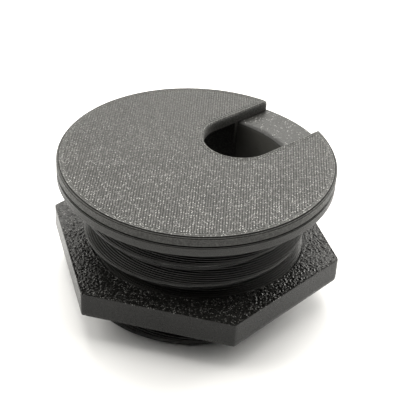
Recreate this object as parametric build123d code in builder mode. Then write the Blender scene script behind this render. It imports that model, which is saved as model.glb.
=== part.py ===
from build123d import *
import math
import os

# Desk cable grommet for a 60 mm desk hole: a flanged sleeve with a coarse
# external thread, a round lid with a U-shaped cable slot and a plug skirt
# that sits in the sleeve's bore, and a hex nut that clamps the desktop.
# Millimetres, +Z up, origin on the sleeve's axis at its lower end.
# The cable slot opens towards +X.

# ---- driving dimensions ----
total_height = 38.4          # lower end of the sleeve to the lid's top face

flange_diameter = 70.0       # sleeve flange and lid share this diameter
lid_thickness = 2.55
seam_gap = 0.05              # air between the lid and the flange it rests on
flange_thickness = 2.70
edge_chamfer = 0.65          # lid's top edge, and both rims at the seam
flange_edge_chamfer = 0.60
underside_chamfer = 0.30     # flange's lower edge
relief_radius = 28.80        # shallow relief round the thread's run-out, so
relief_depth = 0.25          # that the flange seats flat on the desktop

bore_diameter = 48.4         # sleeve's inside
bore_lead_in_width = 1.50    # chamfer at the bore's upper end
bore_lead_in_depth = 1.00
tube_lower_lead_in = 0.50

thread_crest_diameter = 57.0     # passes a 60 mm desk hole
thread_depth = 3.25              # 60 degree flanks
thread_pitch = 6.00
thread_crest_flat = 0.75
thread_root_flat = 1.50
thread_start_angle = 228.0       # where a crest stands at thread_start_height
thread_start_height = 25.38
thread_end_diameter = 56.4       # sleeve's lower end, after its lead-in chamfer

slot_width = 18.34
slot_end_centre = 14.21          # centre of the slot's round inner end, from the axis
slot_corner_radius = 1.3         # where the slot's +Y side meets the rim
slot_corner_break = 0.3          # the other corner is nearly sharp

skirt_clearance = 0.25           # between the plug skirt and the sleeve's bore
skirt_wall = 0.95
skirt_depth = 11.0
skirt_lower_lead_in = 0.40

nut_across_flats = 66.45
nut_thickness = 6.85
nut_top_below_lid = 23.54        # nut's resting height on the thread
nut_corner_angle = 4.9           # a corner's direction from +X
nut_bore_clearance = 0.35        # to the thread's crests
nut_bore_chamfer = 0.55
nut_bed_chamfer = 0.25           # outer edges

# ---- heights and radii worked out from them ----
lid_bottom = total_height - lid_thickness
flange_top = lid_bottom - seam_gap
flange_bottom = flange_top - flange_thickness
flange_radius = flange_diameter / 2
bore_radius = bore_diameter / 2
crest_radius = thread_crest_diameter / 2
root_radius = crest_radius - thread_depth
end_radius = thread_end_diameter / 2
skirt_outer = bore_radius - skirt_clearance
skirt_inner = skirt_outer - skirt_wall
skirt_bottom = lid_bottom - skirt_depth
nut_top = total_height - nut_top_below_lid
nut_bottom = nut_top - nut_thickness
nut_bore_radius = crest_radius + nut_bore_clearance


# ---- sleeve: flange, tube and its external thread ----
# One right-hand ridge, its section a truncated V, wound from below the lower
# end to inside the flange.
ridge_foot = thread_pitch - thread_root_flat
ridge_start = -thread_pitch
ridge_turns = (flange_bottom + 1.2 * thread_pitch - ridge_start) / thread_pitch
first_crest = thread_start_height - thread_pitch * math.ceil(
    (thread_start_height - ridge_start) / thread_pitch
)
with BuildPart() as thread_ridge:
    with BuildLine():
        wind = Helix(
            pitch=thread_pitch,
            height=ridge_turns * thread_pitch,
            radius=root_radius,
            center=(0, 0, first_crest),
        )
    with BuildSketch(Plane(origin=(root_radius, 0, first_crest), x_dir=(1, 0, 0), z_dir=(0, -1, 0))):
        with BuildLine():
            Polyline(
                (-0.45, -ridge_foot / 2),
                (0, -ridge_foot / 2),
                (thread_depth, -thread_crest_flat / 2),
                (thread_depth, thread_crest_flat / 2),
                (0, ridge_foot / 2),
                (-0.45, ridge_foot / 2),
                close=True,
            )
        make_face()
    sweep(path=wind, is_frenet=True)
    split(bisect_by=Plane.XY.offset(flange_bottom + 1.0), keep=Keep.BOTTOM)
    split(bisect_by=Plane.XY, keep=Keep.TOP)

# The ridge turned so that its crest passes the stated angle at the stated height.
placed_ridge = thread_ridge.part.rotate(Axis.Z, thread_start_angle)

with BuildPart() as sleeve:
    with BuildSketch(Plane.XZ):
        with BuildLine():
            Polyline(
                (bore_radius + tube_lower_lead_in, 0),
                (root_radius, 0),
                (root_radius, flange_bottom + relief_depth),
                (relief_radius, flange_bottom + relief_depth),
                (relief_radius, flange_bottom),
                (flange_radius - underside_chamfer, flange_bottom),
                (flange_radius, flange_bottom + underside_chamfer),
                (flange_radius, flange_top - flange_edge_chamfer),
                (flange_radius - flange_edge_chamfer, flange_top),
                (bore_radius + bore_lead_in_width, flange_top),
                (bore_radius, flange_top - bore_lead_in_depth),
                (bore_radius, tube_lower_lead_in),
                close=True,
            )
        make_face()
    revolve(axis=Axis.Z)
    add(placed_ridge)
    # lead-in cone on the thread's lower end
    with BuildSketch(Plane.XZ):
        with BuildLine():
            Polyline(
                (end_radius, 0),
                (end_radius, -1),
                (crest_radius + 2, -1),
                (crest_radius + 2, crest_radius + 2 - end_radius),
                close=True,
            )
        make_face()
    revolve(axis=Axis.Z, mode=Mode.SUBTRACT)
sleeve.part.label = "sleeve"

# ---- lid: round plate, plug skirt, and the cable slot through both ----
with BuildPart() as lid:
    with BuildSketch(Plane.XZ):
        with BuildLine():
            Polyline(
                (0, lid_bottom),
                (skirt_inner, lid_bottom),
                (skirt_inner, skirt_bottom),
                (skirt_outer - skirt_lower_lead_in, skirt_bottom),
                (skirt_outer, skirt_bottom + skirt_lower_lead_in),
                (skirt_outer, lid_bottom),
                (flange_radius, lid_bottom),
                (flange_radius, total_height - edge_chamfer),
                (flange_radius - edge_chamfer, total_height),
                (0, total_height),
                close=True,
            )
        make_face()
    revolve(axis=Axis.Z)
    # cable slot: round inner end, parallel sides out past the rim
    with BuildSketch(Plane.XY.offset(skirt_bottom - 1)):
        with Locations((slot_end_centre, 0)):
            Circle(slot_width / 2)
        with Locations((slot_end_centre + flange_radius / 2, 0)):
            Rectangle(flange_radius, slot_width)
    extrude(amount=total_height - skirt_bottom + 2, mode=Mode.SUBTRACT)
    # rounded corners where the slot leaves the rim
    for side, radius in ((1, slot_corner_radius), (-1, slot_corner_break)):
        rim_corner = (
            lid.edges()
            .filter_by(Axis.Z)
            .filter_by(lambda e: e.center().X > 0.9 * flange_radius)
            .filter_by(lambda e: side * e.center().Y > 0.9 * slot_width / 2)
        )
        fillet(rim_corner, radius)
lid.part.label = "lid"

# ---- nut: hex ring that clamps the desktop from below ----
with BuildPart() as nut:
    with BuildSketch(Plane.XY.offset(nut_bottom)):
        RegularPolygon(
            radius=nut_across_flats / 2,
            side_count=6,
            major_radius=False,
            rotation=nut_corner_angle,
        )
    extrude(amount=nut_thickness)
    chamfer(nut.faces().sort_by(Axis.Z)[0].edges(), nut_bed_chamfer)
    with BuildSketch(Plane.XZ):
        with BuildLine():
            Polyline(
                (0, nut_bottom - 1),
                (nut_bore_radius + nut_bore_chamfer + 1, nut_bottom - 1),
                (nut_bore_radius, nut_bottom + nut_bore_chamfer),
                (nut_bore_radius, nut_top - 0.1),
                (nut_bore_radius + 0.1, nut_top),
                (nut_bore_radius + 0.1, nut_top + 1),
                (0, nut_top + 1),
                close=True,
            )
        make_face()
    revolve(axis=Axis.Z, mode=Mode.SUBTRACT)
nut.part.label = "nut"

os.makedirs("parts", exist_ok=True)
export_step(sleeve.part, "parts/sleeve.step")
export_step(lid.part, "parts/lid.step")
export_step(nut.part, "parts/nut.step")

for piece in (sleeve, lid, nut):
    box = piece.part.bounding_box()
    print(
        piece.part.label,
        "solids", len(piece.part.solids()),
        "volume", round(piece.part.volume, 1),
        "min", [round(v, 3) for v in box.min],
        "max", [round(v, 3) for v in box.max],
        "valid", piece.part.is_valid,
    )
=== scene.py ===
import math

import bmesh
import bpy
import numpy as np
from mathutils import Matrix, Vector


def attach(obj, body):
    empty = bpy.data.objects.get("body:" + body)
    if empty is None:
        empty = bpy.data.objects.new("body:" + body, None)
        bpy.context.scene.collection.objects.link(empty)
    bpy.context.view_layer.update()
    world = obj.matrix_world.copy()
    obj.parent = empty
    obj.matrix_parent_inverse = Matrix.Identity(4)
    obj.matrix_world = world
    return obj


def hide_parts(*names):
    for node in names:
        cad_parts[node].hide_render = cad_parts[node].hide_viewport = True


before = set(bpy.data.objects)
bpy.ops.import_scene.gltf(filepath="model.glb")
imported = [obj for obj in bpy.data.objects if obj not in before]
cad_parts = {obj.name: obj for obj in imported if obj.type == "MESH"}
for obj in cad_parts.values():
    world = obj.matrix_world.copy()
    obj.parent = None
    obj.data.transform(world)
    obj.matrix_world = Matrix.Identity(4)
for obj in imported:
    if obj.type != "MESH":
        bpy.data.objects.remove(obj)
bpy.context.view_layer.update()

# ------------------------------------------------------------------ sizes, mm
H = 38.4                     # lid's top face
LID_T = 2.55
LID_BOTTOM = H - LID_T
FLANGE_TOP = LID_BOTTOM - 0.05
FLANGE_T = 2.70
FLANGE_BOTTOM = FLANGE_TOP - FLANGE_T
R = 35.0                     # flange and lid
CHAMFER = 0.65
FLANGE_CHAMFER = 0.60
BORE = 24.2
CREST, DEPTH, PITCH = 28.5, 3.25, 6.0
ROOT = CREST - DEPTH
CREST_FLAT, ROOT_FLAT = 0.75, 1.50
ROUND = 0.10                 # how much the printed crest is rounded off
THREAD_ANGLE, THREAD_Z = math.radians(228.0), 25.38
END_R = 28.2
SLOT_HALF, SLOT_X = 9.17, 14.21
CORNER_FAR, CORNER_NEAR = 1.3, 0.3
SKIRT_OUT, SKIRT_IN, SKIRT_DEPTH = 23.95, 23.0, 11.0
NUT_TOP, NUT_T, NUT_AF, NUT_ANGLE = H - 23.54, 6.85, 66.45, math.radians(4.9)
NUT_ROOT, NUT_MINOR, NUT_MOUTH = 29.5, 26.6, 27.55   # inside thread, and its lead-in at the faces
LAYER = 0.28
LINE = 0.63                  # width of a printed line
TAU = 2 * math.pi


# ------------------------------------------------------------------ noise
def _hash(ix, iy, seed):
    h = (ix.astype(np.int64) * 374761393 + iy.astype(np.int64) * 668265263 + seed * 1442695041) & 0xFFFFFFFF
    h = ((h ^ (h >> 13)) * 1274126177) & 0xFFFFFFFF
    h = h ^ (h >> 16)
    return (h & 0xFFFFFF) / float(0xFFFFFF)


def noise(x, y, seed=0):
    """Gradient noise in about -1..1, the same on every run."""
    x, y = np.broadcast_arrays(np.asarray(x, float), np.asarray(y, float))
    ix, iy = np.floor(x), np.floor(y)
    fx, fy = x - ix, y - iy
    sx = fx * fx * fx * (fx * (fx * 6 - 15) + 10)
    sy = fy * fy * fy * (fy * (fy * 6 - 15) + 10)

    def corner(dx, dy):
        a = _hash(ix + dx, iy + dy, seed) * TAU
        return np.cos(a) * (fx - dx) + np.sin(a) * (fy - dy)

    low = corner(0, 0) * (1 - sx) + corner(1, 0) * sx
    high = corner(0, 1) * (1 - sx) + corner(1, 1) * sx
    return (low * (1 - sy) + high * sy) * 1.5


# ------------------------------------------------------------------ meshes
class Mesh:
    """Collects closed shells, in millimetres."""

    def __init__(self):
        self.v, self.f, self.n = [], [], 0

    def verts(self, xyz):
        xyz = np.asarray(xyz, float).reshape(-1, 3)
        start = self.n
        self.v.append(xyz)
        self.n += len(xyz)
        return np.arange(start, self.n)

    def faces(self, idx):
        self.f.append(np.asarray(idx, int))

    def grid(self, rows, wrap=True):
        """rows: list of index arrays of one length; quads between each row and the next."""
        rows = np.asarray(rows)
        a, b = rows[:-1], rows[1:]
        if wrap:
            a2, b2 = np.roll(a, -1, axis=1), np.roll(b, -1, axis=1)
        else:
            a, a2, b, b2 = a[:, :-1], a[:, 1:], b[:, :-1], b[:, 1:]
        self.faces(np.stack([a, a2, b2, b], axis=-1).reshape(-1, 4))

    def make(self, name, body, node, sharp=32.0):
        v = np.vstack(self.v) * 0.001
        sizes = np.concatenate([np.full(len(f), f.shape[1]) for f in self.f])
        loops = np.concatenate([f.ravel() for f in self.f])
        starts = np.concatenate([[0], np.cumsum(sizes)[:-1]])
        me = bpy.data.meshes.new(name)
        me.vertices.add(len(v))
        me.vertices.foreach_set("co", v.astype(np.float32).ravel())
        me.loops.add(len(loops))
        me.loops.foreach_set("vertex_index", loops.astype(np.int32))
        me.polygons.add(len(sizes))
        me.polygons.foreach_set("loop_start", starts.astype(np.int32))
        me.update(calc_edges=True)
        me.validate()
        bm = bmesh.new()
        bm.from_mesh(me)
        bmesh.ops.recalc_face_normals(bm, faces=bm.faces)      # every shell faces outwards
        bm.to_mesh(me)
        bm.free()
        me.polygons.foreach_set("use_smooth", np.ones(len(me.polygons), bool))
        me.set_sharp_from_angle(angle=math.radians(sharp))
        ob = bpy.data.objects.new(name, me)
        bpy.context.scene.collection.objects.link(ob)
        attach(ob, body)
        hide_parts(node)
        return ob


def ring(mesh, theta, r, z):
    r = np.broadcast_to(np.asarray(r, float), theta.shape)
    z = np.broadcast_to(np.asarray(z, float), theta.shape)
    return mesh.verts(np.stack([r * np.cos(theta), r * np.sin(theta), z], axis=1))


def stitch(mesh, fine, coarse):
    """Joins a ring of 2n points to one of n, fine first."""
    n = len(coarse)
    j = np.arange(n)
    a0, a1, a2 = fine[2 * j], fine[2 * j + 1], fine[(2 * j + 2) % (2 * n)]
    b0, b1 = coarse[j], coarse[(j + 1) % n]
    mesh.faces(np.stack([a0, a1, b0], axis=1))
    mesh.faces(np.stack([a1, a2, b1, b0], axis=1))


def thread_r(theta, z, grow=0.0):
    """Radius of the thread's surface. grow moves the flanks outwards, for the nut."""
    u = (z - THREAD_Z) / PITCH - (theta - THREAD_ANGLE) / TAU
    u = np.abs(u - np.round(u)) * PITCH
    foot = PITCH - ROOT_FLAT
    slope = DEPTH / (foot / 2 - CREST_FLAT / 2)
    flank = CREST - (u - CREST_FLAT / 2) * slope
    return np.clip(np.minimum(flank, CREST - ROUND * (u / (CREST_FLAT / 2)) ** 2), ROOT, CREST) + grow


# ------------------------------------------------------------------ sleeve
def make_sleeve():
    m = Mesh()
    n = 200
    th = np.arange(n) * TAU / n
    th2 = np.arange(2 * n) * TAU / (2 * n)
    rows = [ring(m, th, BORE, 4.0), ring(m, th, BORE, 0.5), ring(m, th, BORE + 0.4, 0.0)]
    count = round(FLANGE_BOTTOM / LAYER)
    h = FLANGE_BOTTOM / count
    rng = np.random.default_rng(5)
    jit = rng.normal(0, 0.012, count)
    for k in range(count):
        zc = (k + 0.5) * h
        rk = thread_r(th, zc)
        rk = np.minimum(rk, END_R + zc) + jit[k] + 0.02 * noise(th * 6.0, k * 3.7 + np.zeros(n), 11)
        rk = np.minimum(rk, CREST)
        groove = 0.10 + 0.05 * rng.random()
        profile = ((0.0, -groove), (0.40, 0.0), (0.93, -groove * 0.35)) if zc > 14.0 or k < 8 else ((0.0, -groove), (0.5, 0.0))
        for t, off in profile:
            rows.append(ring(m, th, rk + off, (k + t) * h))
    m.grid(rows)
    # flange
    last = rows[-1]
    frows = []
    frows.append(ring(m, th2, 28.8, FLANGE_BOTTOM + 0.2))
    frows.append(ring(m, th2, 28.85, FLANGE_BOTTOM + 0.02))
    frows.append(ring(m, th2, 32.5, FLANGE_BOTTOM + 0.01))
    frows.append(ring(m, th2, R - 0.32, FLANGE_BOTTOM))
    layers = 10
    lh = FLANGE_T / layers
    for k in range(layers):
        z0 = FLANGE_BOTTOM + k * lh
        rk, g, t0, t1 = R - 0.004, 0.018, 0.10, 0.90
        if k == 0:
            rk = R - 0.14
        if k == layers - 2:
            rk = R - 0.16
        if k == layers - 1:
            rk, g, t1 = R - 0.48, 0.12, 0.70
        rk = rk + 0.01 * noise(th2 * 5.0, k * 2.3 + np.zeros(2 * n), 23) - 0.01
        for t, off in ((0.0, -g), (t0, 0.0), (t1, 0.0)):
            frows.append(ring(m, th2, rk + off, z0 + t * lh))
    radii = np.concatenate([[R - 0.75, R - 2.2, R - 2.3], np.linspace(R - 2.6, BORE + 1.50, 22)])
    for rr in radii:
        x, y = rr * np.cos(th2), rr * np.sin(th2)
        d = pebble(x, y, 41)
        frows.append(ring(m, th2, rr, FLANGE_TOP - 0.075 + 0.06 * d))
    for a in np.linspace(0.12, 1.0, 7):
        # rounded mouth of the bore
        frows.append(ring(m, th2, BORE + 1.45 * (1 - math.sin(a * math.pi / 2)) + 0.02, FLANGE_TOP - 0.09 - 1.15 * (1 - math.cos(a * math.pi / 2))))
    m.grid(frows)
    stitch(m, frows[0], last)
    # bore
    brows = [ring(m, th, BORE, FLANGE_TOP - 1.6)]
    stitch_down = (frows[-1], brows[0])
    j = np.arange(n)
    a0, a1, a2 = stitch_down[0][2 * j], stitch_down[0][2 * j + 1], stitch_down[0][(2 * j + 2) % (2 * n)]
    b0, b1 = stitch_down[1][j], stitch_down[1][(j + 1) % n]
    m.faces(np.stack([b0, a1, a0], axis=1)[:, ::-1])
    m.faces(np.stack([b0, b1, a2, a1], axis=1)[:, ::-1])
    zs = np.linspace(FLANGE_TOP - 2.2, 4.4, 24)
    for z in zs:
        brows.append(ring(m, th, BORE, z))
    brows.append(rows[0])
    m.grid(brows)
    return m.make("sleeve_printed", "sleeve", "sleeve")


def worms(x, y, seed):
    """Short raised wrinkles about a millimetre apart with round grains between, in about -1..1."""
    wx = noise(x / 2.3, y / 2.3, seed + 5) * 0.5
    wy = noise(x / 2.3 + 9.0, y / 2.3, seed + 6) * 0.5
    a = 1 - 2.6 * np.abs(noise(x / 0.95 + wx, y / 0.95 + wy, seed))
    b = noise(x / 0.50 + 7.1, y / 0.50 - 3.3, seed + 1)
    return np.clip(0.5 * a + 0.85 * b - 0.05, -1, 1)


def pebble(x, y, seed):
    """Grains of a textured print plate, about a millimetre apart, in about -1..1."""
    a = noise(x / 0.92, y / 0.92, seed)
    b = noise(x / 0.47 + 7.1, y / 0.47 - 3.3, seed + 1)
    d = np.abs(a) * 1.5 - 0.55 + 0.35 * b
    return np.clip(d, -1, 1)


# ------------------------------------------------------------------ lid
def outline(d, n_arc=420, n_side=14, n_end=56, in_slot=None):
    """The lid's outline moved inwards by d, anticlockwise, as (x, y). The slot opens to +X."""
    w, rr = SLOT_HALF + (d if in_slot is None else in_slot), R - d
    out = []

    def corner(rho, sign):
        # circle of radius rho tangent to the rim circle from inside and to the slot's side
        rho = max(rho, 0.02)
        cy = w + rho
        cx = math.sqrt(max((rr - rho) ** 2 - cy * cy, 0))
        a_rim = math.atan2(cy, cx)
        return cx, sign * cy, a_rim, rho

    far = corner(max(CORNER_FAR - d, 0.15), 1)
    near = corner(max(CORNER_NEAR - d * 0.3, 0.12), -1)
    # rim from the far corner round to the near one
    a0, a1 = far[2], TAU - near[2]
    for a in np.linspace(a0, a1, n_arc):
        out.append((rr * math.cos(a), rr * math.sin(a)))
    # near corner: from its rim tangent to the slot's side
    cx, cy, ar, rho = near
    b0, b1 = -ar, math.pi / 2
    for a in np.linspace(b0, b1, 10)[1:]:
        out.append((cx + rho * math.cos(a), cy + rho * math.sin(a)))
    for x in np.linspace(cx, SLOT_X, n_side)[1:-1]:
        out.append((x, -w))
    for a in np.linspace(-math.pi / 2, -3 * math.pi / 2, n_end):
        out.append((SLOT_X + w * math.cos(a), w * math.sin(a)))
    cx, cy, ar, rho = far
    for x in np.linspace(SLOT_X, cx, n_side)[1:-1]:
        out.append((x, w))
    for a in np.linspace(-math.pi / 2, ar, 10)[:-1]:
        out.append((cx + rho * math.cos(a), cy + rho * math.sin(a)))
    return np.array(out)


def make_lid():
    m = Mesh()
    rows = []
    layers = 9
    lh = LID_T / layers
    rim_in = [0.28, 0.0, 0.0, 0.0, 0.0, 0.0, 0.0, 0.24, 0.52]
    slot_in = [0.0, 0.0, 0.0, 0.0, 0.0, 0.02, 0.09, 0.22, 0.46]
    base = outline(0.0)
    rad = np.hypot(base[:, 0], base[:, 1])
    on_rim = np.clip((rad - (R - 1.2)) / 1.0, 0, 1)      # 1 on the rim, 0 in the slot
    ang = np.arctan2(base[:, 1], base[:, 0])
    normal = base - outline(0.25)
    normal /= np.maximum(np.linalg.norm(normal, axis=1), 1e-9)[:, None]

    def wall(inset, z):
        p = base - normal * np.asarray(inset)[:, None]
        return m.verts(np.column_stack([p, np.full(len(p), z)]))

    for k in range(layers):
        z0 = LID_BOTTOM + k * lh
        g0 = 0.34 if k in (7, 8) else 0.018
        inset = rim_in[k] * on_rim + slot_in[k] * (1 - on_rim)
        cut = g0 * on_rim + 0.03 * (1 - on_rim)
        wob = 0.008 + 0.008 * noise(ang * 9.0 + 3.0, k * 1.9 + np.zeros(len(ang)), 31)
        t0 = {8: 0.42, 7: 0.45}.get(k, 0.10)
        for t, off in ((0.0, cut), (t0, cut * (k in (7, 8))), (t0 + 0.06, 0.0), (0.56 if k == 8 else 0.93, 0.0)):
            rows.append(wall(inset + wob + off, z0 + min(t, 0.56 if k == 8 else 1.0) * lh))
    m.grid(rows)
    m.faces(rows[0][::-1][None, :])
    m.faces(rows[-1][None, :])

    # plug skirt: a C, open where the slot cuts it
    n = 150

    def c_ring(ro, ri, z):
        bo, bi = math.asin(SLOT_HALF / ro), math.asin(SLOT_HALF / ri)
        ao = np.linspace(bo, TAU - bo, n)
        ai = np.linspace(TAU - bi, bi, n)
        x = np.concatenate([ro * np.cos(ao), ri * np.cos(ai)])
        y = np.concatenate([ro * np.sin(ao), ri * np.sin(ai)])
        return m.verts(np.column_stack([x, y, np.full(len(x), z)]))

    srows = []
    bottom = LID_BOTTOM - SKIRT_DEPTH
    count = 34
    sh = (SKIRT_DEPTH + 0.1) / count
    for k in range(count):
        g = 0.03
        ro = SKIRT_OUT - (0.3 if k == 0 else 0.0)
        for t, off in ((0.0, g), (0.5, 0.0)):
            srows.append(c_ring(ro - off, SKIRT_IN + off, bottom + (k + t) * sh))
    srows.append(c_ring(SKIRT_OUT - 0.03, SKIRT_IN + 0.03, bottom + count * sh))
    m.grid(srows)
    half = 2 * n
    for row, flip in ((srows[0], True), (srows[-1], False)):
        o, i = row[:n], row[n:][::-1]
        q = np.stack([o[:-1], o[1:], i[1:], i[:-1]], axis=1)
        m.faces(q[:, ::-1] if flip else q)

    # printed top: two lines along the outline, straight lines inside them
    top = H - 0.006

    def bead(path, width, closed, peak, seed, deep=0.19):
        """One printed line: a flat-bottomed, round-topped ridge along a path."""
        p = np.asarray(path, float)
        if closed:
            t = np.roll(p, -1, axis=0) - np.roll(p, 1, axis=0)
        else:
            t = np.gradient(p, axis=0)
        t /= np.maximum(np.linalg.norm(t, axis=1), 1e-9)[:, None]
        nrm = np.column_stack([-t[:, 1], t[:, 0]])
        s = np.concatenate([[0], np.cumsum(np.linalg.norm(np.diff(p, axis=0), axis=1))])
        wid = 1 + 0.05 * noise(s / 2.1, np.zeros(len(s)) + seed * 5.3, 51)
        hgt = 0.012 * noise(s / 1.3, np.zeros(len(s)) + seed * 3.1, 53)
        cols = []
        prof = ((-0.5, -1.0), (-0.44, -0.62), (-0.26, -0.14), (0.0, 0.0), (0.26, -0.14), (0.44, -0.62), (0.5, -1.0))
        for a, b in prof:
            q = p + nrm * (a * width * wid)[:, None]
            z = peak - 0.012 + b * deep + hgt * (1 + b)
            cols.append(m.verts(np.column_stack([q, z])))
        cols = np.array(cols)                     # profile by path
        if closed:
            m.grid(cols[::-1])
            a, b = cols[0], cols[-1]
            m.faces(np.stack([a, np.roll(a, -1), np.roll(b, -1), b], axis=1))
        else:
            m.grid(cols[::-1], wrap=False)
            a, b = cols[0], cols[-1]
            m.faces(np.stack([a[:-1], a[1:], b[1:], b[:-1]], axis=1))
            m.faces(cols[:, 0][None, :])
            m.faces(cols[:, -1][::-1][None, :])

    for i, d in enumerate((0.5 * LINE, 1.5 * LINE)):
        pts = outline(0.53 + d, n_arc=300, n_side=10, n_end=40, in_slot=0.47 + d)
        bead(pts, LINE * 1.04, True, top, 900 + i, deep=0.15)
    # raster
    ang_r = math.radians(46.0)
    ux, uy = math.cos(ang_r), math.sin(ang_r)
    vx, vy = -uy, ux
    inner, inner_slot = 0.53 + 2 * LINE + 0.02, 0.47 + 2 * LINE + 0.02

    def inside(x, y):
        ok = x * x + y * y < (R - inner) ** 2
        w = SLOT_HALF + inner_slot
        slot = (np.abs(y) < w) & (x > SLOT_X)
        slot |= (x - SLOT_X) ** 2 + y * y < w * w
        return ok & ~slot

    count = int(R / LINE) + 1
    for i in range(-count, count + 1):
        off = (i + 0.5) * LINE
        s = np.arange(-R, R, 0.04)
        x, y = s * ux + off * vx, s * uy + off * vy
        ok = inside(x, y)
        edges = np.flatnonzero(np.diff(np.concatenate([[0], ok.astype(int), [0]])))
        for a, b in zip(edges[::2], edges[1::2]):
            lo, hi = s[a], s[b - 1]
            if hi - lo < 0.6:
                continue
            k = max(int((hi - lo) / 1.5), 2) + 1
            ss = np.linspace(lo, hi, k)
            wob = 0.02 * noise(ss / 3.0, np.zeros(k) + i * 1.7, 57)
            pts = np.column_stack([ss * ux + (off + wob) * vx, ss * uy + (off + wob) * vy])
            bead(pts, LINE * 1.02, False, top, i)
    return m.make("lid_printed", "lid", "lid", sharp=40.0)


# ------------------------------------------------------------------ nut
def hex_r(theta):
    a = (theta - NUT_ANGLE) % (TAU / 6) - TAU / 12
    return NUT_AF / 2 / np.cos(a)


def nut_thread(theta, z):
    """Inside thread of the nut: the sleeve's profile, bearing on its upper flanks, slack above them."""
    u = (z - THREAD_Z) / PITCH - (theta - THREAD_ANGLE) / TAU
    u = (u - np.round(u)) * PITCH                 # above the nearest crest of the sleeve
    slope = DEPTH / ((PITCH - ROOT_FLAT - CREST_FLAT) / 2)
    upper = CREST + 0.13 - (u - CREST_FLAT / 2) * slope
    lower = CREST + 0.13 + (u + CREST_FLAT / 2 + 0.75) * slope
    below = CREST + 0.13 + (u - PITCH + CREST_FLAT / 2 + 0.75) * slope
    r = np.where(u > -CREST_FLAT / 2 - 0.2, np.maximum(upper, below), np.maximum(lower, CREST + 0.13 - (u + PITCH - CREST_FLAT / 2) * slope))
    return np.clip(r, NUT_MINOR, NUT_ROOT)


def make_nut():
    m = Mesh()
    n = 960
    th = NUT_ANGLE + np.arange(n) * TAU / n
    rh = hex_r(th)
    bottom = NUT_TOP - NUT_T
    # how near a corner, to round it very slightly
    a = np.abs((th - NUT_ANGLE + TAU / 12) % (TAU / 6) - TAU / 12)
    soft = 0.10 * np.exp(-((a / math.radians(0.5)) ** 2))
    rh = rh - soft
    rows = []
    # top face, from its inner edge out; the inside thread gives that edge its shape
    edge_r = np.maximum(nut_thread(th, NUT_TOP), NUT_MOUTH)
    s = np.linspace(0, 1, 46)
    for f in s:
        rr = edge_r + f * (rh - 0.10 - edge_r)
        x, y = rr * np.cos(th), rr * np.sin(th)
        d = 0.5 - 0.5 * worms(x, y, 71)
        edge = np.clip(np.minimum(f, 1 - f) * 16, 0, 1)
        rows.append(ring(m, th, rr, NUT_TOP - 0.012 - 0.36 * d * (0.3 + 0.7 * edge)))
    top_inner = rows[0]
    # sides, down
    count = 8
    lh = NUT_T / count
    side = [ring(m, th, rh - 0.02, NUT_TOP - 0.17)]
    for k in range(count):
        z = NUT_TOP - (k + 0.5) * lh
        g = 0.012
        if k:
            side.append(ring(m, th, rh - g, NUT_TOP - k * lh))
        off = 0.18 if k == count - 1 else 0.0
        side.append(ring(m, th, rh - off, z if k < count - 1 else bottom + 0.10))
    rows += side
    low_r = np.maximum(nut_thread(th, bottom), NUT_MOUTH)
    for f in (0.985, 0.6, 0.3, 0.0):
        rows.append(ring(m, th, low_r + f * (rh - 0.30 - low_r), bottom))
    m.grid(rows[::-1])
    # inside thread, in printed layers
    bth = th[::3]
    irows = []
    count = round(NUT_T / LAYER)
    h = NUT_T / count
    for k in range(count):
        zc = bottom + (k + 0.5) * h
        lead = min(NUT_TOP - zc, zc - bottom)
        rz = np.maximum(nut_thread(bth, zc), NUT_MOUTH - lead)
        for t, off in ((0.08, 0.07), (0.45, 0.0), (0.92, 0.05)):
            irows.append(ring(m, bth, rz + off, bottom + (k + t) * h))
    b_top, b_low = irows[-1], irows[0]
    m.grid(irows)
    # close the bore's ends to the faces, three fine points to one
    def stitch3(fine, coarse, flip):
        k = len(coarse)
        j = np.arange(k)
        a0, a1, a2, a3 = (fine[(3 * j + i) % (3 * k)] for i in range(4))
        b0, b1 = coarse[j], coarse[(j + 1) % k]
        tri = np.stack([a0, a1, b0], axis=1)
        quad = np.stack([a1, a2, b1, b0], axis=1)
        tri2 = np.stack([a2, a3, b1], axis=1)
        for f in (tri, quad, tri2):
            m.faces(f[:, ::-1] if flip else f)
    stitch3(top_inner, b_top, False)
    stitch3(rows[-1], b_low, True)
    return m.make("nut_printed", "nut", "nut", sharp=50.0)


# ------------------------------------------------------------------ materials
def nodes_of(name):
    mat = bpy.data.materials.new(name)
    mat.use_nodes = True
    nt = mat.node_tree
    nt.nodes.clear()
    out = nt.nodes.new("ShaderNodeOutputMaterial")
    b = nt.nodes.new("ShaderNodeBsdfPrincipled")
    nt.links.new(b.outputs[0], out.inputs[0])
    return mat, nt, b


def ramp(nt, src, stops):
    r = nt.nodes.new("ShaderNodeValToRGB")
    e = r.color_ramp.elements
    e[0].position, e[0].color = stops[0][0], (*stops[0][1], 1)
    e[1].position, e[1].color = stops[-1][0], (*stops[-1][1], 1)
    for p, c in stops[1:-1]:
        x = e.new(p)
        x.color = (*c, 1)
    nt.links.new(src, r.inputs[0])
    return r.outputs[0]


def grey(v, warm=0.0):
    return (v * (1 + 0.15 * warm), v, v * (1 - warm))


def math_node(nt, op, a, b=None):
    n = nt.nodes.new("ShaderNodeMath")
    n.operation = op
    for k, v in enumerate((a, b)):
        if v is None:
            continue
        if isinstance(v, (int, float)):
            n.inputs[k].default_value = v
        else:
            nt.links.new(v, n.inputs[k])
    return n.outputs[0]


def dot_node(nt, vec, d):
    n = nt.nodes.new("ShaderNodeVectorMath")
    n.operation = "DOT_PRODUCT"
    nt.links.new(vec, n.inputs[0])
    n.inputs[1].default_value = d
    return n.outputs["Value"]


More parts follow.
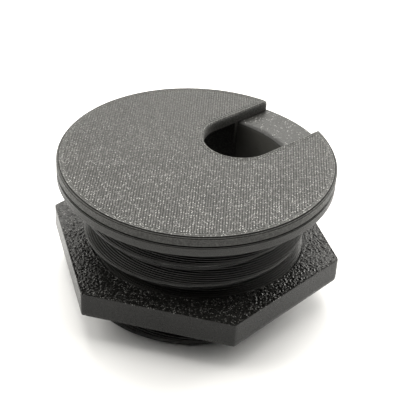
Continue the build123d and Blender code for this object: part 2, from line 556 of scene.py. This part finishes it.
def plastic(name, dark, light, rough, speckle, grain_scale=2600.0, bump=0.15, glint=0.0, glint_scale=2100.0,
            glint_tone=0.2, toward=None, level=0.35, above=0.0, within=0.040, lines=None, groove=0.4, edge=False, calm=1.0, stack=None, inside=None):
    """Charcoal printed plastic: mottled colour, fine grain, and painted glints (small bright dots in the base
    colour) on its upper face.

    above, within: the height and radius, in metres, that hold the painted glints. lines: direction of the printed
    lines, degrees, for the painted shade darkening the grooves between them."""
    mat, nt, b = nodes_of(name)
    L = nt.links.new
    tc = nt.nodes.new("ShaderNodeTexCoord")
    pos = tc.outputs["Object"]
    big = nt.nodes.new("ShaderNodeTexNoise")
    big.inputs["Scale"].default_value = 90.0
    big.inputs["Detail"].default_value = 4.0
    L(pos, big.inputs["Vector"])
    fine = nt.nodes.new("ShaderNodeTexNoise")
    fine.inputs["Scale"].default_value = grain_scale
    fine.inputs["Detail"].default_value = 2.0
    L(pos, fine.inputs["Vector"])
    col_a = ramp(nt, big.outputs["Fac"], [(0.3, grey(dark, 0.09)), (0.7, grey(light, 0.09))])
    spk = ramp(nt, fine.outputs["Fac"], [(0.42, (0.0, 0.0, 0.0)), (0.70, (1.0, 1.0, 1.0))])
    mix = nt.nodes.new("ShaderNodeMix")
    mix.data_type = "RGBA"
    L(math_node(nt, "MULTIPLY", spk, 0.5 * speckle), mix.inputs["Factor"])
    L(col_a, mix.inputs[6])
    mix.inputs[7].default_value = (*grey(light * 3.0, 0.06), 1)
    colour = mix.outputs[2]
    # where the upper face is
    sep_p = nt.nodes.new("ShaderNodeSeparateXYZ")
    L(pos, sep_p.inputs[0])
    x2 = math_node(nt, "MULTIPLY", sep_p.outputs[0], sep_p.outputs[0])
    y2 = math_node(nt, "MULTIPLY", sep_p.outputs[1], sep_p.outputs[1])
    rad = math_node(nt, "SQRT", math_node(nt, "ADD", x2, y2))
    face = math_node(nt, "MULTIPLY", math_node(nt, "GREATER_THAN", sep_p.outputs[2], above), math_node(nt, "LESS_THAN", rad, within))
    keep = face
    if lines is not None:
        # painted shade: darker grooves between the printed lines
        a = math.radians(lines)
        across = dot_node(nt, pos, (-math.sin(a) / (LINE * 0.001), math.cos(a) / (LINE * 0.001), 0.0))
        saw = math_node(nt, "FRACT", across)
        off = math_node(nt, "ABSOLUTE", math_node(nt, "SUBTRACT", saw, 0.5))       # 0.5 in the groove
        cut = ramp(nt, off, [(0.20, (1.0, 1.0, 1.0)), (0.46, (groove,) * 3)])
        inner = math_node(nt, "MULTIPLY", face, math_node(nt, "LESS_THAN", rad, 0.0332))
        if toward is not None:
            # the painted groove shade weakens away from the camera side
            side = math_node(nt, "ADD", dot_node(nt, pos, (toward[0] / 0.07, toward[1] / 0.07, 0.0)), 0.5)
            inner = math_node(nt, "MULTIPLY", inner, ramp(nt, side, [(0.15, (0.45,) * 3), (0.75, (1.0,) * 3)]))
        m1 = nt.nodes.new("ShaderNodeMix")
        m1.data_type = "RGBA"
        m1.inputs[6].default_value = (1, 1, 1, 1)
        L(inner, m1.inputs["Factor"])
        L(cut, m1.inputs[7])
        m2 = nt.nodes.new("ShaderNodeMix")
        m2.data_type = "RGBA"
        m2.blend_type = "MULTIPLY"
        m2.inputs["Factor"].default_value = 1.0
        L(colour, m2.inputs[6])
        L(m1.outputs[2], m2.inputs[7])
        colour = m2.outputs[2]
        shade = m1.outputs[2]
        if edge:
            # painted shade on the sides of the two top layers, where the sunken seams just under the upper face's
            # edge are
            t = math_node(nt, "DIVIDE", math_node(nt, "SUBTRACT", sep_p.outputs[2], (H - 0.8) * 0.001), 0.0008)
            seam_shade = ramp(nt, t, [(0.28, (1.0,) * 3), (0.30, (0.3,) * 3), (0.43, (0.3,) * 3), (0.46, (1.0,) * 3), (0.655, (1.0,) * 3), (0.675, (0.12,) * 3), (0.93, (0.12,) * 3), (0.96, (1.0,) * 3)])
            m3 = nt.nodes.new("ShaderNodeMix")
            m3.data_type = "RGBA"
            m3.inputs[6].default_value = (1, 1, 1, 1)
            L(math_node(nt, "GREATER_THAN", rad, 0.03436), m3.inputs["Factor"])
            L(seam_shade, m3.inputs[7])
            shade = math_node(nt, "MULTIPLY", shade, m3.outputs[2])
            m4 = nt.nodes.new("ShaderNodeMix")
            m4.data_type = "RGBA"
            m4.blend_type = "MULTIPLY"
            m4.inputs["Factor"].default_value = 1.0
            L(colour, m4.inputs[6])
            L(m3.outputs[2], m4.inputs[7])
            colour = m4.outputs[2]
        L(math_node(nt, "MULTIPLY", shade, level), b.inputs["Specular IOR Level"])
        keep = math_node(nt, "MULTIPLY", face, m1.outputs[2])
    elif stack is not None:
        # painted shade in the gaps between the stacked layers: dark low in each layer, full colour and shinier on
        # each layer's shoulder
        height, low, high, shine = stack
        part = math_node(nt, "FRACT", math_node(nt, "DIVIDE", sep_p.outputs[2], height))
        layer_gap_shade = ramp(nt, part, [(0.0, (0.9,) * 3), (0.02, (0.04,) * 3), (0.58, (0.10,) * 3), (0.76, (1.0,) * 3), (1.0, (1.0,) * 3)])
        there = math_node(nt, "MULTIPLY", math_node(nt, "GREATER_THAN", rad, low), math_node(nt, "LESS_THAN", sep_p.outputs[2], high))
        m5 = nt.nodes.new("ShaderNodeMix")
        m5.data_type = "RGBA"
        m5.inputs[6].default_value = (1, 1, 1, 1)
        L(there, m5.inputs["Factor"])
        L(layer_gap_shade, m5.inputs[7])
        m6 = nt.nodes.new("ShaderNodeMix")
        m6.data_type = "RGBA"
        m6.blend_type = "MULTIPLY"
        m6.inputs["Factor"].default_value = 1.0
        L(colour, m6.inputs[6])
        L(m5.outputs[2], m6.inputs[7])
        colour = m6.outputs[2]
        gain = math_node(nt, "ADD", math_node(nt, "MULTIPLY", there, shine - level), level)
        L(math_node(nt, "MULTIPLY", m5.outputs[2], gain), b.inputs["Specular IOR Level"])
    else:
        b.inputs["Specular IOR Level"].default_value = level
    # painted glints: one round bright dot in the base colour, in some of the cells
    vor = nt.nodes.new("ShaderNodeTexVoronoi")
    vor.voronoi_dimensions = "2D"
    vor.inputs["Scale"].default_value = glint_scale
    L(pos, vor.inputs["Vector"])
    dot = ramp(nt, vor.outputs["Distance"], [(0.24, (1.0, 1.0, 1.0)), (0.40, (0.0, 0.0, 0.0))])
    sep = nt.nodes.new("ShaderNodeSeparateColor")
    L(vor.outputs["Color"], sep.inputs[0])
    pick = ramp(nt, sep.outputs[0], [(1.0 - glint, (0.0, 0.0, 0.0)), (1.0 - glint * 0.25, (1.0, 1.0, 1.0))])
    painted_glint = math_node(nt, "MULTIPLY", math_node(nt, "MULTIPLY", dot, pick), keep)
    if toward is not None:
        # the painted glints thin out away from the camera side
        plus = math_node(nt, "ADD", dot_node(nt, pos, (toward[0] / 0.07, toward[1] / 0.07, 0.0)), 0.5)
        fade = ramp(nt, plus, [(0.12, (0.15, 0.15, 0.15)), (0.80, (1.0, 1.0, 1.0))])
        painted_glint = math_node(nt, "MULTIPLY", painted_glint, fade)
    mix2 = nt.nodes.new("ShaderNodeMix")
    mix2.data_type = "RGBA"
    L(painted_glint, mix2.inputs["Factor"])
    L(colour, mix2.inputs[6])
    mix2.inputs[7].default_value = (*grey(glint_tone, 0.04), 1)
    final = mix2.outputs[2]
    if inside is not None:
        # painted light: the bore's wall gets a paler base colour than the rest, standing in for the light that
        # reaches it
        m7 = nt.nodes.new("ShaderNodeMix")
        m7.data_type = "RGBA"
        L(math_node(nt, "LESS_THAN", rad, inside[0]), m7.inputs["Factor"])
        L(final, m7.inputs[6])
        L(ramp(nt, big.outputs["Fac"], [(0.3, grey(inside[1] * 0.85, 0.09)), (0.7, grey(inside[1] * 1.15, 0.09))]), m7.inputs[7])
        final = m7.outputs[2]
    L(final, b.inputs["Base Color"])
    rr = ramp(nt, fine.outputs["Fac"], [(0.35, (rough + 0.08,) * 3), (0.75, (rough - 0.16,) * 3)])
    L(rr, b.inputs["Roughness"])
    bp = nt.nodes.new("ShaderNodeBump")
    L(math_node(nt, "ADD", math_node(nt, "MULTIPLY", face, bump * (1 - calm)), bump * calm), bp.inputs["Strength"])
    bp.inputs["Distance"].default_value = 0.00012
    L(fine.outputs["Fac"], bp.inputs["Height"])
    L(bp.outputs[0], b.inputs["Normal"])
    b.inputs["IOR"].default_value = 1.5
    return mat


def build_all():
    sleeve = make_sleeve()
    lid = make_lid()
    nut = make_nut()
    # near: direction toward the camera's side, where the lid's painted glints and painted groove shade are
    # strongest
    near = (math.sin(math.radians(-42.0)), -math.cos(math.radians(-42.0)))
    # all three pieces get painted glints on their upper faces
    # the sleeve's bore wall is painted paler, as painted light, and its layer gaps get painted shade
    sleeve.data.materials.append(plastic("sleeve_charcoal", 0.015, 0.024, 0.40, 0.35, bump=0.7, calm=0.2, inside=((BORE + 0.06) * 0.001, 0.075), stack=(FLANGE_BOTTOM * 0.001 / 118, (BORE + 0.5) * 0.001, FLANGE_BOTTOM * 0.001, 0.75), glint=0.16, glint_tone=0.22, above=(FLANGE_TOP - 0.3) * 0.001, within=0.0342))
    # the lid also gets painted shade in its raster grooves and on the sides of its two top layers
    lid.data.materials.append(plastic("lid_charcoal", 0.022, 0.034, 0.50, 0.9, grain_scale=2300.0, bump=0.9, calm=0.10, glint=0.36, glint_tone=0.34, toward=near,
                                      above=(H - 0.35) * 0.001, within=0.0343, lines=46.0, groove=0.35, edge=True))
    nut.data.materials.append(plastic("nut_charcoal", 0.006, 0.010, 0.32, 0.10, bump=0.3, calm=0.1, glint=0.30, glint_tone=0.20, glint_scale=2500.0, level=0.26, above=(NUT_TOP - 0.32) * 0.001, within=0.040))
    return sleeve, lid, nut


pieces = build_all()

# ------------------------------------------------------------------ floor
me = bpy.data.meshes.new("floor")
me.from_pydata([(-6, -6, 0), (6, -6, 0), (6, 6, 0), (-6, 6, 0)], [], [(0, 1, 2, 3)])
floor = bpy.data.objects.new("floor", me)
bpy.context.scene.collection.objects.link(floor)
mat, nt, b = nodes_of("floor_white")
b.inputs["Base Color"].default_value = (0.86, 0.86, 0.86, 1)
b.inputs["Roughness"].default_value = 0.9
me.materials.append(mat)

# ------------------------------------------------------------------ camera
RAD = 34.363                              # top face's radius, the camera's unit
f_px, dist, elev, roll, yaw, pitch = 1122.53, 8.1508, 0.5609, 0.0537, -0.0024, -0.0403
back = Vector((0, -math.cos(elev), math.sin(elev)))
pos = back * dist
fwd = -back
right = Vector((1, 0, 0))
up = right.cross(fwd)
r2 = right * math.cos(roll) + up * math.sin(roll)
u2 = -right * math.sin(roll) + up * math.cos(roll)
f1 = Matrix.Rotation(yaw, 3, u2) @ fwd
r1 = Matrix.Rotation(yaw, 3, u2) @ r2
f2 = Matrix.Rotation(pitch, 3, r1) @ f1
u3 = Matrix.Rotation(pitch, 3, r1) @ u2
turn = Matrix.Rotation(math.radians(-42.0), 3, "Z")
x_ax, y_ax, z_ax = turn @ r1, turn @ u3, turn @ (-f2)
where = turn @ (pos * (RAD * 0.001)) + Vector((0, 0, H * 0.001))
cam = bpy.data.cameras.new("camera")
cam.sensor_width = 36.0
cam.lens = f_px * 36.0 / 400.0
cam.clip_start, cam.clip_end = 0.01, 50
cam_ob = bpy.data.objects.new("camera", cam)
rot = Matrix((x_ax, y_ax, z_ax)).transposed().to_4x4()
cam_ob.matrix_world = Matrix.Translation(where) @ rot
bpy.context.scene.collection.objects.link(cam_ob)
bpy.context.scene.camera = cam_ob

# ------------------------------------------------------------------ light
world = bpy.data.worlds.new("studio")
bpy.context.scene.world = world
world.use_nodes = True
bg = world.node_tree.nodes["Background"]
bg.inputs[0].default_value = (1, 1, 1, 1)
bg.inputs[1].default_value = 0.02


def area(name, cam_xyz, target, size, power, size_y=None):
    """An area light; cam_xyz is in the camera's turn, so +Y is away from the camera."""
    l = bpy.data.lights.new(name, "AREA")
    l.shape = "RECTANGLE"
    l.size = size
    l.size_y = size_y or size
    l.energy = power
    l.color = (1.0, 0.985, 0.945)
    ob = bpy.data.objects.new(name, l)
    p = turn @ Vector(cam_xyz)
    t = Vector(target)
    ob.matrix_world = Matrix.Translation(p) @ (t - p).to_track_quat("-Z", "Y").to_matrix().to_4x4()
    bpy.context.scene.collection.objects.link(ob)
    return ob


area("overhead", (0.0, 0.12, 0.9), (0, 0, 0.02), 0.75, 7.0)
area("behind_high", (0.0, 0.7, 0.9), (0, 0, 0.02), 1.0, 12.7)
area("behind", (0.0, 1.0, 0.55), (0, 0, 0.02), 1.2, 3.1, 0.6)
area("behind_left", (-0.7, 0.7, 0.35), (0, 0, 0.02), 0.6, 3.0)
area("behind_right", (0.7, 0.7, 0.35), (0, 0, 0.02), 0.6, 10.7)
area("left_high", (-0.8, 0.0, 0.7), (0, 0, 0.02), 0.8, 8.9)
area("right_high", (0.8, 0.0, 0.7), (0, 0, 0.02), 0.8, 4.6)

sc = bpy.context.scene
sc.view_settings.view_transform = "Standard"
sc.view_settings.look = "None"
